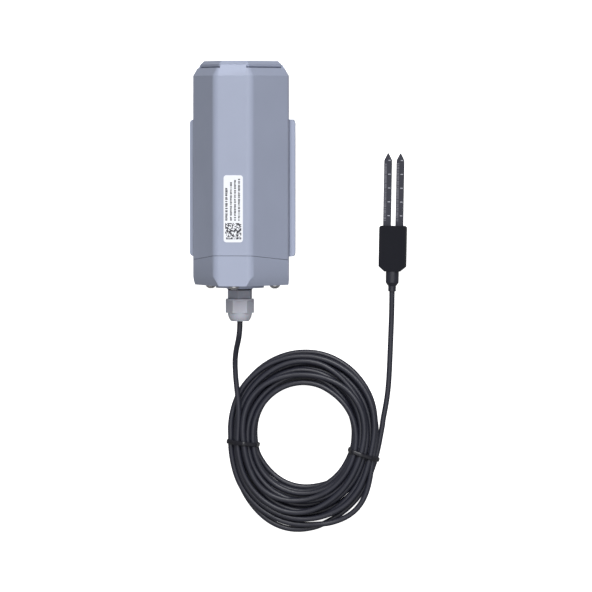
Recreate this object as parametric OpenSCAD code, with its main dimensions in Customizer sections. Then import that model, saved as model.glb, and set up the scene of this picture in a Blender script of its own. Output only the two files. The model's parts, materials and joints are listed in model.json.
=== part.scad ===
// Battery powered soil moisture sensor: a three-sided housing on a wall cradle,
// an end cap with a cable gland, a coil of cable and a two-pronged probe.
// The housing lies on its back: +Y is its crown, -Y its gland, +Z points away
// from the wall, and the origin is the middle of the cradle's back face.

/* [Housing] */
// Distance from the housing's axis to its three narrow flats
narrow_flat = 33.8; // [33:0.1:35]
// Distance from the housing's axis to its three wide flats
wide_flat = 28.5; // [28:0.1:29]
// Radius of the housing's long edges
edge_r = 6.7; // [6:0.1:7.2]
// Thickness of the housing's wall
wall = 2.6; // [2.2:0.1:2.8]
// Height of the crown's top above the cradle's middle
crown_top = 91.6; // [88:0.1:96]
// Height at which the top chamfer starts
chamfer_low = 80.9; // [78:0.1:82]
// Height at which the top chamfer ends
chamfer_high = 86.5; // [85:0.1:87]

/* [End cap] */
// Height of the joint between housing and cap at the front flat
seam_front = -47.9; // [-50:0.1:-46]
// Slope of that joint, lower towards the back
seam_tilt = 5.6; // [3:0.1:6]
// Height of the cap's flat bottom
cap_bottom = -69.9; // [-72:0.1:-69]
// Diameter of the circle that the three cap screws stand on
screw_circle = 54; // [53:0.5:55]
// Diameter of a cap screw's head
screw_head_d = 7.4; // [6.5:0.1:8]

/* [Gland] */
// Width across the flats of the gland body's hexagon
gland_body_af = 16.2; // [16:0.1:17]
// Width across the flats of the clamping nut's hexagon
gland_nut_af = 17.7; // [17:0.1:19]
// Length of the clamping nut from its collar to its domed end
gland_nut_len = 16.1; // [15:0.1:18]
// Distance that the nut advances in one turn
thread_pitch = 1.5; // [1:0.5:1.5]

/* [Cradle] */
// Length of the cradle
cradle_len = 99; // [96:1:102]
// Width over the front edges of the cradle's wings
cradle_w = 77; // [76.5:0.1:78]
// Width of the cradle's back
cradle_back_w = 62; // [60:1:64]
// Height of the wings above the wall
wing_h = 22; // [20:0.5:23]
// Distance that the housing slides up to leave the keyholes
keyhole_travel = 12; // [11:0.5:13]
// Distance between wall screws across the cradle
wall_screw_x = 49; // [48:1:50]
// Distance between wall screws along the cradle
wall_screw_y = 76; // [70:1:78]
// Diameter of a wall screw hole
wall_screw_d = 4.5; // [4:0.1:5]

/* [Probe] */
// Width of the probe's moulded head
head_w = 19.2; // [18:0.1:21]
// Length of the probe's moulded head
head_len = 30.6; // [29:0.1:33]
// Thickness of the probe's moulded head
head_t = 9.6; // [9.5:0.1:10]
// Length of a prong outside the head
prong_len = 52.4; // [48:0.1:58]
// Width of a prong
prong_w = 5.6; // [5:0.1:6]
// Gap between the prongs
prong_gap = 3.4; // [3:0.1:4]
// Thickness of the prongs
prong_t = 1.6; // [1.2:0.1:2]

/* [Cable] */
// Diameter of the cable
cable_d = 4; // [4:0.1:4.2]
// Width of the cable's coil
coil_w = 108; // [106:1:110]
// Length of the cable's coil
coil_len = 130; // [128:1:132]
// Height of the cable's coil
coil_h = 16; // [15:0.5:17]

/* [Hidden] */
$fn = 64;

shell_grey = "#a9b1c6";
black = "#202128";
steel = "#c4c6ca";
nylon_grey = "#a4a6b4";

// The housing's axis lies this far from the wall: its back flat clears the cradle
back_gap = 4.5;
axis_z = back_gap + wide_flat;
front_z = axis_z + narrow_flat;
cap_floor_t = 3;
cap_floor = cap_bottom + cap_floor_t;
seam_gap = 0.3;
seam_back = seam_front - (narrow_flat + wide_flat) * tan(seam_tilt);
narrow_angles = [90, 210, 330];
wide_angles = [30, 150, 270];
inner_r = edge_r - wall;
edge_steps = 6;

// ---- helpers ------------------------------------------------------------------

// Stands its children's z axis along the housing's axis, from height y upwards
module rise(y) {
    translate([0, y, axis_z]) rotate([90, 0, 180]) children();
}

function unit(a) = [cos(a), sin(a)];

// A corner of the six-sided outline that lies d inside the housing's flats
function corner(k, d) =
    let (a = 90 + 60 * k)
    let (near = (k % 2 == 0 ? narrow_flat : wide_flat) - d)
    let (far = (k % 2 == 0 ? wide_flat : narrow_flat) - d)
    near * unit(a) + (far - near * cos(60)) / sin(60) * unit(a + 90);

// Rounded six-sided outline: corner centres d inside the flats, corner radius r
module outline(d, r) {
    polygon([for (k = [0:5]) for (s = [0:edge_steps])
        corner(k, d) + r * unit(90 + 60 * (k + s / edge_steps))]);
}

// The same outline as a solid whose corner radius goes from r1 to r2 over height h
module tapered(d, r1, r2, h) {
    skin = 0.01;
    hull() {
        linear_extrude(skin) outline(d, r1);
        translate([0, 0, h - skin]) linear_extrude(skin) outline(d, r2);
    }
}

// Slab between two heights measured from the tilted joint of housing and cap
module seam_slab(low, high) {
    translate([0, seam_front, front_z]) rotate([-seam_tilt, 0, 0])
        translate([-60, low, -90]) cube([120, high - low, 120]);
}

module at_screws(radius) {
    for (a = narrow_angles) translate(radius * unit(a)) children();
}

module hexagon(af, h) {
    cylinder(h = h, d = af / cos(30), $fn = 6);
}

// Directions along a route at its point i, and across it
function tangent(p, i) =
    let (v = p[min(i + 1, len(p) - 1)] - p[max(i - 1, 0)]) v / norm(v);
function side_way(t, up) = let (s = cross(t, up)) s / norm(s);
function tube_ring(p, i, r, sides, up) =
    let (t = tangent(p, i), s = side_way(t, up), n = cross(s, t))
    [for (k = [0:sides - 1])
        let (a = 360 * (k + 0.5) / sides) p[i] + r * (cos(a) * s + sin(a) * n)];

// Closed tube of radius r swept along the points of p, which never run along up
module tube(p, r, sides = 8, up = [0, 0, 1]) {
    n = sides;
    last = len(p) - 1;
    polyhedron(
        points = [for (i = [0:last]) each tube_ring(p, i, r, n, up)],
        faces = concat(
            [[for (k = [0:n - 1]) k]],
            [for (i = [0:last - 1]) for (k = [0:n - 1])
                [i * n + k, (i + 1) * n + k, (i + 1) * n + (k + 1) % n, i * n + (k + 1) % n]],
            [[for (k = [n - 1:-1:0]) last * n + k]]
        )
    );
}

module rounded_plate(w, l, r) {
    square([w - 2 * r, l], center = true);
    square([w, l - 2 * r], center = true);
    for (x = [-1, 1]) for (y = [-1, 1])
        translate([x * (w / 2 - r), y * (l / 2 - r)]) circle(r);
}

module block(low, high) {
    translate(low) cube(high - low);
}

// ---- housing --------------------------------------------------------------------

stud_x = 12;
stud_y = 30;
stud_r = 2.4;
stud_head_r = 4.2;
boss_r = 4.4;
boss_top = -24;
insert_r = 2.9;
insert_len = 8;
cavity_top = 78;
chamfer_in = 3.2;
crown_d = 8.2;
crown_r1 = 3;
crown_r2 = 0.5;
crown_base = chamfer_high + 0.9;
crown_edge = crown_top - 2.4;
tongue_w = 18.8;

module crown_tongues() {
    for (a = narrow_angles) rotate([0, 0, a]) translate([0, tongue_w / 2, 0])
        rotate([90, 0, 0]) linear_extrude(tongue_w)
            polygon([
                [narrow_flat - 9, -1], [narrow_flat - chamfer_in + 0.3, -1],
                [narrow_flat - chamfer_in, 0], [narrow_flat - chamfer_in - 1.2, 2.2],
                [narrow_flat - 9, 2.2]
            ]);
}

module housing_outer() {
    rise(seam_back - 1) linear_extrude(chamfer_low - seam_back + 1) outline(edge_r, edge_r);
    rise(chamfer_low) tapered(edge_r, edge_r, edge_r - chamfer_in, chamfer_high - chamfer_low);
    rise(chamfer_high - 1) linear_extrude(2.5) outline(crown_d, crown_r1 - 1.6);
    rise(crown_base) linear_extrude(crown_edge - crown_base) outline(crown_d, crown_r1);
    rise(crown_edge) tapered(crown_d, crown_r1, crown_r2, crown_top - crown_edge);
    rise(chamfer_high) crown_tongues();
}

module back_studs() {
    for (x = [-1, 1]) for (y = [-1, 1]) translate([x * stud_x, y * stud_y, 0]) {
        translate([0, 0, 1]) cylinder(h = 1.2, r = stud_head_r);
        translate([0, 0, 1.6]) cylinder(h = 4, r = stud_r);
    }
}

module housing() color(shell_grey) {
    difference() {
        union() {
            difference() {
                housing_outer();
                rise(seam_back - 2) linear_extrude(cavity_top - seam_back + 2)
                    outline(edge_r, inner_r);
            }
            rise(seam_back - 1) at_screws(screw_circle / 2)
                cylinder(h = boss_top - seam_back + 1, r = boss_r);
        }
        rise(seam_back - 2) at_screws(screw_circle / 2)
            cylinder(h = boss_top - seam_back - 1, r = 2.3);
        rise(seam_back - 2) at_screws(screw_circle / 2)
            cylinder(h = seam_front - seam_back + 3 + insert_len, r = insert_r);
        seam_slab(-40, 0);
    }
    back_studs();
}

module thread_inserts() color("goldenrod") {
    rise(seam_front + 1) at_screws(screw_circle / 2) difference() {
        cylinder(h = insert_len, r = insert_r);
        translate([0, 0, -1]) cylinder(h = insert_len + 2, r = 2.05);
    }
}

label_w = 14;
label_len = 48;
label_y = -14.4;
label_x = 0.6;
label_t = 0.2;

module label() color("white") {
    translate([label_x, label_y, front_z]) linear_extrude(label_t)
        rounded_plate(label_w, label_len, 2);
}

// ---- end cap ----------------------------------------------------------------------

cap_boss_r = 17.3;
cap_boss_h = 1.8;
cap_ring_r = 9.3;
cap_ring_h = 0.9;
cap_chamfer_in = 3;
cap_chamfer_h = 7;
spigot_r = inner_r - 0.35;
spigot_t = 1.4;
spigot_h = 4.5;
gasket_out = edge_r - 0.9;
gasket_in = edge_r - 2;
gasket_deep = 1.1;
gland_thread_r = 6;
post_x = 15;
post_z = 18;
post_top = -58.5;

module cap_chamfers() {
    for (a = wide_angles) rotate([0, 0, a]) translate([0, 40, 0])
        rotate([90, 0, 0]) linear_extrude(80)
            polygon([
                [wide_flat - 1.1 * cap_chamfer_in, -0.1 * cap_chamfer_h],
                [wide_flat + 6, -0.1 * cap_chamfer_h],
                [wide_flat + 6, 1.5 * cap_chamfer_h],
                [wide_flat + 0.5 * cap_chamfer_in, 1.5 * cap_chamfer_h]
            ]);
}

module end_cap() color(shell_grey) {
    difference() {
        union() {
            difference() {
                rise(cap_bottom) linear_extrude(60) outline(edge_r, edge_r);
                rise(cap_bottom) cap_chamfers();
                rise(cap_floor) linear_extrude(60) outline(edge_r, inner_r);
            }
            rise(cap_floor - 1) linear_extrude(60) at_screws(screw_circle / 2) circle(boss_r);
            rise(cap_bottom - cap_boss_h) cylinder(h = cap_boss_h + 1, r = cap_boss_r);
            rise(cap_bottom - cap_boss_h - cap_ring_h) cylinder(h = cap_ring_h + 1, r = cap_ring_r);
            for (x = [-post_x, post_x]) translate([x, cap_floor - 1, post_z])
                rotate([-90, 0, 0]) cylinder(h = post_top - cap_floor + 1, r = 3.2);
        }
        seam_slab(-seam_gap, 90);
        intersection() {
            rise(cap_bottom) linear_extrude(60) difference() {
                outline(edge_r, gasket_out);
                outline(edge_r, gasket_in);
            }
            seam_slab(-gasket_deep - seam_gap, 1);
        }
        rise(cap_bottom - 1) at_screws(screw_circle / 2) {
            cylinder(h = 60, r = 2.25);
            cylinder(h = 1.5, r = 3.2);
        }
        rise(cap_bottom - 5) cylinder(h = 20, r = gland_thread_r + 0.05);
        for (x = [-post_x, post_x]) translate([x, cap_floor, post_z])
            rotate([-90, 0, 0]) cylinder(h = 20, r = 1.3);
    }
    cap_spigot();
}

// Ring that centres the housing, left open around the housing's screw bosses
module cap_spigot() {
    difference() {
        rise(seam_back - 6) linear_extrude(60) difference() {
            outline(edge_r, inner_r + 0.4);
            outline(edge_r, spigot_r - spigot_t);
        }
        seam_slab(spigot_h, 90);
        seam_slab(-60, -seam_gap - 4);
        intersection() {
            rise(seam_back - 6) linear_extrude(60) difference() {
                outline(edge_r, inner_r + 1);
                outline(edge_r, spigot_r);
            }
            seam_slab(-seam_gap, 90);
        }
        rise(seam_back - 8) at_screws(screw_circle / 2) cylinder(h = 80, r = boss_r + 0.5);
    }
}

module cap_gasket() color(black) {
    intersection() {
        rise(cap_bottom) linear_extrude(60) difference() {
            outline(edge_r, gasket_out);
            outline(edge_r, gasket_in);
        }
        seam_slab(-gasket_deep - seam_gap, -0.05);
    }
}

screw_len = 34;

module cap_screws() color(steel) {
    rise(cap_bottom) at_screws(screw_circle / 2) {
        cylinder(h = screw_len, r = 2);
        difference() {
            intersection() {
                translate([0, 0, -3]) cylinder(h = 3, d = screw_head_d);
                translate([0, 0, 1.4]) sphere(4.4);
            }
            translate([0, 0, -3.5]) hexagon(2.5, 2);
        }
    }
}

module screw_seals() color(black) {
    rise(cap_bottom) at_screws(screw_circle / 2) difference() {
        cylinder(h = 0.5, r = 3.15);
        translate([0, 0, -1]) cylinder(h = 2, r = 2.05);
    }
}

// ---- cable gland --------------------------------------------------------------------

oring_h = 0.9;
gland_top = cap_bottom - cap_boss_h - cap_ring_h - oring_h;
gland_hex_h = 6.1;
gland_collar_top = gland_top - gland_hex_h;
nut_gap = 0.15;
nut_top = gland_collar_top - nut_gap;
nut_end = nut_top - gland_nut_len;
collar_len = 7;
collar_r = 6.6;
seal_r = 4.5;
slip_h = 0.9;

module gland_body() color(nylon_grey) {
    difference() {
        union() {
            rise(gland_top - 1) cylinder(h = cap_floor - gland_top + 8, r = gland_thread_r);
            rise(gland_collar_top) rotate([0, 0, 30]) hexagon(gland_body_af, gland_hex_h);
            rise(gland_collar_top - collar_len) cylinder(h = collar_len + 1, r = collar_r);
        }
        rise(gland_collar_top - collar_len - 1) cylinder(h = collar_len + 1, r = seal_r + 0.05);
        rise(gland_collar_top - 2) cylinder(h = 60, r = 3.4);
    }
}

module gland_oring() color(black) {
    rise(gland_top) difference() {
        cylinder(h = oring_h, r = 8.8);
        translate([0, 0, -1]) cylinder(h = oring_h + 2, r = gland_thread_r + 0.05);
    }
}

module gland_locknut() color(nylon_grey) {
    rise(cap_floor) difference() {
        hexagon(17, 4);
        translate([0, 0, -1]) cylinder(h = 6, r = gland_thread_r + 0.05);
    }
}

module gland_seal() color("#3b3d44") {
    rise(gland_collar_top - 10.5) difference() {
        cylinder(h = 10.4, r = seal_r);
        translate([0, 0, -1]) cylinder(h = 13, r = cable_d / 2 + 0.02);
    }
}

module gland_slip_ring() color("#e4e4e8") {
    rise(gland_collar_top - collar_len - 0.3 - slip_h) difference() {
        cylinder(h = slip_h, r = 6.2);
        translate([0, 0, -1]) cylinder(h = slip_h + 2, r = seal_r + 0.3);
    }
}

module gland_nut() color(nylon_grey) {
    nut_hex_low = 6;
    dome_r = 8.7;
    rise(nut_end) difference() {
        union() {
            translate([0, 0, gland_nut_len - 1.4]) cylinder(h = 1.4, r = 10);
            translate([0, 0, nut_hex_low]) rotate([0, 0, 8.7])
                hexagon(gland_nut_af, gland_nut_len - nut_hex_low - 0.5);
            rotate_extrude() intersection() {
                union() {
                    translate([0, nut_hex_low]) circle(dome_r);
                    square([6.2, nut_hex_low]);
                }
                square([dome_r, nut_hex_low + 0.5]);
            }
        }
        translate([0, 0, -1]) cylinder(h = 30, r = cable_d / 2 + 0.6);
        translate([0, 0, 8.4]) cylinder(h = 20, r = collar_r + 0.06);
        translate([0, 0, 2.2]) cylinder(h = 6.21, r1 = cable_d / 2 + 0.6, r2 = collar_r + 0.06);
    }
}

module inner_cable() color(black) {
    rise(nut_end) cylinder(h = -60 - nut_end, r = cable_d / 2);
}

// ---- electronics ----------------------------------------------------------------------

board_z = 12.2;
board_t = 1.6;
board_top = board_z + board_t;
board_low = -46;
board_high = 62;
board_half = 20.5;
sled_z = 15.9;
sled_t = 1.6;
sled_top = sled_z + sled_t;
sled_half = 18.4;
sled_low = -34;
sled_high = 40;
arm_x = 16;
arm_low = 14.8;
arm_high = 21.4;
battery_z = 36.5;
battery_r = 17.1;
battery_low = -31;
battery_high = 30.5;
screw_x = 15;
block_low = -45;

module terminal_wires() {
    colours = ["crimson", "gold", "forestgreen", "whitesmoke"];
    for (i = [0:3]) color(colours[i]) {
        x = -7.2 + 3.5 * i;
        start = [(i - 1.5) * 1.1, -60, axis_z];
        tube([start, [x / 2, -56, 27], [x, -51, 18], [x, block_low, 16]], 0.5, 8, [1, 0, 0]);
    }
}

module chassis() color("#e7e5dc") {
    difference() {
        union() {
            block([-sled_half, sled_low, sled_z], [sled_half, sled_high, sled_top]);
            for (y = [-27, 23]) block([-15.5, y, sled_top], [15.5, y + 4, 28]);
            for (x = [-screw_x, screw_x]) {
                for (y = [-28.5, 34]) translate([x, y, board_top]) cylinder(h = 3, r = 2.4);
                block([x - 3, post_top, arm_low], [x + 3, post_top + 2, arm_high]);
            }
            for (s = [0, 1]) mirror([s, 0, 0])
                block([arm_x, post_top, arm_low], [sled_half, sled_low + 1, arm_high]);
            block([-4, battery_high + 0.5, sled_top], [4, battery_high + 2.5, 30]);
        }
        translate([0, -60, battery_z]) rotate([-90, 0, 0])
            cylinder(h = 60 + battery_high + 0.3, r = battery_r + 0.15);
        for (x = [-screw_x, screw_x]) {
            for (y = [-28.5, 34]) translate([x, y, board_z - 1]) cylinder(h = 9, r = 1.25);
            translate([x, post_top - 1, post_z]) rotate([-90, 0, 0]) cylinder(h = 4, r = 1.6);
            translate([x, post_top + 2, post_z]) rotate([-90, 0, 0]) cylinder(h = 4, r = 2.75);
        }
    }
}

module chassis_screws() color(steel) {
    for (x = [-post_x, post_x]) translate([x, post_top + 2, post_z]) rotate([-90, 0, 0]) {
        cylinder(h = 1.6, r = 2.6);
        translate([0, 0, -9]) cylinder(h = 9.5, r = 1.25);
    }
}

module main_board() color("#1f6b3a") {
    difference() {
        block([-board_half, board_low, board_z], [board_half, board_high, board_top]);
        for (x = [-screw_x, screw_x]) for (y = [-28.5, 34])
            translate([x, y, board_z - 1]) cylinder(h = 4, r = 1.35);
    }
}

module board_screws() color(steel) {
    for (x = [-screw_x, screw_x]) for (y = [-28.5, 34]) translate([x, y, 0]) {
        translate([0, 0, board_z - 1.6]) cylinder(h = 1.6, r = 2.2);
        translate([0, 0, board_z - 0.5]) cylinder(h = 5, r = 1.2);
    }
}

module radio_module() color("silver") {
    block([-8, 43, board_top], [8, 59, board_top + 0.8]);
    block([-7.5, 43.5, board_top + 0.6], [7.5, 58.5, board_top + 2.8]);
}

module antenna() color("#c98f4a") {
    block([11, 43, board_top], [16, 47, board_top + 9.5]);
    translate([13.5, 46.5, board_top + 6.7]) rotate([-90, 0, 0]) cylinder(h = 30, r = 2.7);
}

module terminal_block() color("#2f8f4e") {
    difference() {
        block([-9, block_low, board_top], [5, block_low + 8, 22.3]);
        for (i = [0:3]) {
            x = -7.2 + 3.5 * i;
            translate([x, block_low - 1, 16]) rotate([-90, 0, 0]) cylinder(h = 5, r = 1.2);
            translate([x, block_low + 4, 20]) cylinder(h = 5, r = 1.5);
        }
    }
}

module terminal_screws() color(steel) {
    for (i = [0:3]) translate([-7.2 + 3.5 * i, block_low + 4, 20]) difference() {
        cylinder(h = 1.6, r = 1.4);
        translate([-2, -0.25, 1]) cube([4, 0.5, 2]);
    }
}

module status_led() color("#e8f3e4") {
    block([-13, -36.6, board_top], [-11.4, -35.8, board_top + 0.7]);
}

switch_x = 8;
switch_y = -42.6;

module power_switch() color("#b9bcc4") {
    difference() {
        block([switch_x, switch_y - 1.9, board_top], [switch_x + 7, switch_y + 1.9, 17.3]);
        block([switch_x + 1.4, switch_y - 0.9, 15.2], [switch_x + 5.6, switch_y + 0.9, 18]);
    }
}

module switch_slider() color(black) {
    block([switch_x + 1.6, switch_y - 0.8, 15.3], [switch_x + 3.4, switch_y + 0.8, 19]);
}

button_x = -12.6;
button_y = -42;

module setup_button() color("#34363c") {
    difference() {
        block([button_x - 3, button_y - 3, board_top], [button_x + 3, button_y + 3, 17.3]);
        translate([button_x, button_y, 15]) cylinder(h = 4, r = 1.75);
    }
}

module button_plunger() color("#f0c43a") {
    translate([button_x, button_y, 15.6]) cylinder(h = 3.2, r = 1.7);
}

module battery() color("#3f6f52") {
    translate([0, battery_low, battery_z]) rotate([-90, 0, 0]) {
        cylinder(h = battery_high - battery_low - 1.3, r = battery_r);
        cylinder(h = battery_high - battery_low, r = 4.5);
    }
}

module battery_strap() color(black) {
    translate([0, -4, battery_z]) rotate([-90, 0, 0]) difference() {
        cylinder(h = 8, r = battery_r + 1);
        translate([0, 0, -1]) cylinder(h = 10, r = battery_r + 0.02);
    }
}

module battery_plug() color("ivory") {
    block([-16, 44, board_top], [-10, 50, board_top + 6]);
}

module battery_leads() {
    across = [0.3, 1, 0];
    color("red") tube([[5.6, 31, 45], [2, 38, 42], [-8, 46, 30], [-11.6, 47, 19.8]], 0.8, 8, across);
    color("black") tube([[-9, 31, 45], [-12, 38, 42], [-15, 45, 30], [-14.4, 47, 19.8]], 0.8, 8, across);
}

// ---- wall cradle ------------------------------------------------------------------------

skin_low = 2.4;
skin_high = back_gap - 0.3;
wing_t = 3;
wing_lip = 3;
rim_t = 2.5;
rib_gap = 0.6;
rib_y = 27;
rib_w = 2.4;
lip_gap = 1.8;
lip_rise = 2;
wing_corner_r = 3;
sink_deep = 2;
sink_r = 4.25;
pad_r = 5.4;

// X of the housing's slanted lower flat at height z
function lower_flat_x(z) = (narrow_flat + (z - axis_z) * sin(30)) / cos(30);
function wing_x(z) = min(cradle_w, cradle_back_w
    + (cradle_w - cradle_back_w) * z / (wing_h - wing_lip)) / 2;

// X of the rim's inner face, which turns in towards the housing
function lip_x(z) = lower_flat_x(z) + lip_gap;

module cradle_section() {
    low = wing_h - wing_lip;
    difference() {
        polygon([
            [-wing_x(0), 0], [wing_x(0), 0], [wing_x(low), low], [wing_x(low), wing_h],
            [-wing_x(low), wing_h], [-wing_x(low), low]
        ]);
        polygon([
            [-wing_x(skin_high) + wing_t, skin_high], [wing_x(skin_high) - wing_t, skin_high],
            [wing_x(low - lip_rise) - wing_t, low - lip_rise], [lip_x(low), low],
            [lip_x(wing_h + 1), wing_h + 1], [-lip_x(wing_h + 1), wing_h + 1],
            [-lip_x(low), low], [-wing_x(low - lip_rise) + wing_t, low - lip_rise]
        ]);
    }
}

module cradle_rib() {
    // The ribs end inside the rim
    low = wing_h - wing_lip + 1;
    for (s = [0, 1]) mirror([s, 0]) polygon([
        [lower_flat_x(skin_high) + rib_gap, skin_high - 0.5],
        [lower_flat_x(low) + rib_gap, low],
        [wing_x(low) - 1, low], [wing_x(skin_high) - 1, skin_high - 0.5]
    ]);
}

module keyholes() {
    for (x = [-stud_x, stud_x]) for (y = [-stud_y, stud_y]) translate([x, y, 0]) {
        translate([0, 0, skin_low - 1]) cylinder(h = 9, r = stud_r + 0.1);
        translate([-stud_r - 0.1, 0, skin_low - 1]) cube([2 * stud_r + 0.2, keyhole_travel, 9]);
        translate([0, keyhole_travel, skin_low - 1]) cylinder(h = 9, r = stud_head_r + 0.4);
    }
}

module at_wall_screws() {
    for (x = [-1, 1]) for (y = [-1, 1])
        translate([x * wall_screw_x / 2, y * wall_screw_y / 2, 0]) children();
}

module cradle() color(shell_grey) {
    hole_r = wall_screw_d / 2;
    difference() {
        union() {
            intersection() {
                translate([0, cradle_len / 2, 0]) rotate([90, 0, 0]) linear_extrude(cradle_len)
                    cradle_section();
                linear_extrude(wing_h + 1) rounded_plate(cradle_w, cradle_len, wing_corner_r);
            }
            for (y = [-rib_y, 0, rib_y]) translate([0, y + rib_w / 2, 0]) rotate([90, 0, 0])
                linear_extrude(rib_w) cradle_rib();
        }
        difference() {
            translate([0, 0, -1]) linear_extrude(skin_low + 1)
                rounded_plate(cradle_back_w - 2 * rim_t, cradle_len - 2 * rim_t, 3.5);
            translate([0, 0, -2]) cylinder(h = 9, r = 5);
            at_wall_screws() translate([0, 0, -2]) cylinder(h = 9, r = pad_r);
            block([-40, -1, -2], [40, 1, 9]);
        }
        keyholes();
        at_wall_screws() {
            translate([0, 0, -1]) cylinder(h = 9, r = hole_r);
            translate([0, 0, skin_high - sink_deep])
                cylinder(h = sink_deep + 0.01, r1 = hole_r, r2 = sink_r);
        }
    }
}

// ---- probe --------------------------------------------------------------------------------

probe_x = 107.2;
probe_y = -58;
probe_tilt = -1;
probe_z = head_t / 2;
board_in = 22;
point_len = 5;
shoulder_len = 2.4;
boot_wide_r = 4.7;
boot_thin_r = 2.8;

// Places its children at the cable end of the probe's head, y towards the tips
module at_probe() {
    translate([probe_x, probe_y, 0]) rotate([0, 0, probe_tilt]) children();
}

module prong_outline() {
    tip_y = head_len + prong_len;
    side = prong_w + prong_gap / 2;
    middle = (prong_w + prong_gap) / 2;
    inner = prong_gap / 2;
    tip = 0.3;
    polygon([
        [-side, head_len - board_in], [-side, tip_y - point_len],
        [-middle - tip, tip_y], [-middle + tip, tip_y],
        [-inner, tip_y - point_len], [-inner, head_len], [inner, head_len],
        [inner, tip_y - point_len], [middle - tip, tip_y], [middle + tip, tip_y],
        [side, tip_y - point_len], [side, head_len - board_in]
    ]);
}

module sensor_board() color("#3b3c45") {
    at_probe() translate([0, 0, probe_z - prong_t / 2]) linear_extrude(prong_t) prong_outline();
}

module head_outline() {
    translate([0, 1 + (head_len - 1) / 2]) rounded_plate(head_w, head_len - 1, 1.6);
    polygon([
        [-head_w / 2, 4], [-head_w / 2, 1.2], [-boot_wide_r - 0.6, -shoulder_len],
        [boot_wide_r + 0.6, -shoulder_len], [head_w / 2, 1.2], [head_w / 2, 4]
    ]);
}

module probe_head() color(black) {
    at_probe() difference() {
        linear_extrude(head_t) head_outline();
        translate([-prong_w - prong_gap / 2, head_len - board_in, probe_z - prong_t / 2])
            cube([2 * prong_w + prong_gap, board_in + 1, prong_t]);
    }
}

boot_top = -shoulder_len;
boot_step = -10.4;
boot_cone = 2.6;
boot_end = -16.8;

module probe_boot() color(black) {
    at_probe() translate([0, boot_end, probe_z]) rotate([-90, 0, 0]) {
        cylinder(h = boot_step - boot_end - boot_cone + 0.1, r = boot_thin_r);
        translate([0, 0, boot_step - boot_end - boot_cone])
            cylinder(h = boot_cone, r1 = boot_thin_r, r2 = boot_wide_r);
        translate([0, 0, boot_step - boot_end])
            cylinder(h = boot_top - boot_step, r = boot_wide_r);
    }
}

// ---- cable ----------------------------------------------------------------------------------

coil_x = 43;
coil_y = -183;
coil_hole_w = 69;
coil_hole_len = 72;
coil_hole_y = -178;

// Middle of the cable from the gland's mouth down onto the coil
lead_route = [
    [0, nut_end, axis_z], [0, -99, 33], [-0.2, -102, 32.6], [-1, -106, 31], [-2.4, -111, 27.8],
    [-4, -116, 24], [-5.4, -121, 20.4], [-6.2, -127, 17.2], [-6.3, -133, 15.2], [-5.8, -139, 14.2],
    [-5, -146, 13.8]
];

// Middle of the cable from the probe's boot along the surface to the coil
tail_end = [probe_x, probe_y, 0] + [
    boot_end * sin(-probe_tilt), boot_end * cos(probe_tilt), probe_z
];
tail_route = [
    tail_end, [106.8, -79, 4.6], [106.6, -85, 3.4], [106.3, -92, 2.3], [106, -99, 2],
    [105.6, -109, 2], [105.2, -119, 2], [104.8, -129, 2], [104.3, -139, 2], [103.4, -149, 2],
    [102, -158, 2], [100.2, -167, 2], [98, -176, 2], [95.6, -184, 2]
];

module cord_lead() color(black) tube(lead_route, cable_d / 2);

module cord_tail() color(black) tube(tail_route, cable_d / 2);

// Outline with round ends, w across and l long
module stadium(w, l) {
    for (s = [-1, 1]) translate([0, s * (l - w) / 2]) circle(w / 2, $fn = 96);
    square([w, l - w], center = true);
}

module cord_coil() color(black) {
    linear_extrude(coil_h) difference() {
        translate([coil_x, coil_y]) stadium(coil_w, coil_len);
        translate([coil_x, coil_hole_y]) stadium(coil_hole_w, coil_hole_len);
    }
}

tie_w = 3.2;
tie_h = 15.6;
tie_across = 22.4;

// Band round the coil's strands, its long side turned by a about z
module tie(x, y, a) {
    translate([x, y, tie_h / 2]) rotate([90, 0, a]) translate([0, 0, -tie_w / 2])
        linear_extrude(tie_w) difference() {
            rounded_plate(tie_across, tie_h, 6);
            rounded_plate(tie_across - 2, tie_h - 2, 5);
        }
}

module coil_ties() color(black) {
    tie(-1.6, -185.4, -6);
    tie(87.4, -193.2, -20);
}

housing();
thread_inserts();
label();
end_cap();
cap_gasket();
cap_screws();
screw_seals();
gland_body();
gland_oring();
gland_locknut();
gland_seal();
gland_slip_ring();
gland_nut();
inner_cable();
terminal_wires();
chassis();
chassis_screws();
main_board();
board_screws();
radio_module();
antenna();
terminal_block();
terminal_screws();
status_led();
power_switch();
switch_slider();
setup_button();
button_plunger();
battery();
battery_strap();
battery_plug();
battery_leads();
cradle();
sensor_board();
probe_head();
probe_boot();
cord_lead();
cord_coil();
cord_tail();
coil_ties();
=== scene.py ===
import json
import math
import random

import bmesh
import bpy
import numpy as np
from mathutils import Matrix, Vector


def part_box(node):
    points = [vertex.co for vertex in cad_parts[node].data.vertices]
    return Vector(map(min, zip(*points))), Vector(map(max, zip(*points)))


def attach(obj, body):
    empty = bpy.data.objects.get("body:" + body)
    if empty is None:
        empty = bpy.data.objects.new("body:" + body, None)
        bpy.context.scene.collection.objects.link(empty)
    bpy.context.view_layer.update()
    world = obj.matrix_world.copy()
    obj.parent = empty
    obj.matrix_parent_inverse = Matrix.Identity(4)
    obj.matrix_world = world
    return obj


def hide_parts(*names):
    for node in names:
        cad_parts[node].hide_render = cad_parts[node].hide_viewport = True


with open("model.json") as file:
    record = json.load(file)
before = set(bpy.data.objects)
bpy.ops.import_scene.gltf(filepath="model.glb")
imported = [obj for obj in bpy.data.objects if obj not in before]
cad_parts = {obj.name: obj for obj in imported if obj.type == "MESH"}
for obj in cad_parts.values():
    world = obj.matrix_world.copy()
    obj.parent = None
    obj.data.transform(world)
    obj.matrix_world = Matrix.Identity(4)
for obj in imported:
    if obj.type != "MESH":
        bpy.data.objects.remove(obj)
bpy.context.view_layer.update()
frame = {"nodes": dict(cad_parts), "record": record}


RECORD = frame["record"]
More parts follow.
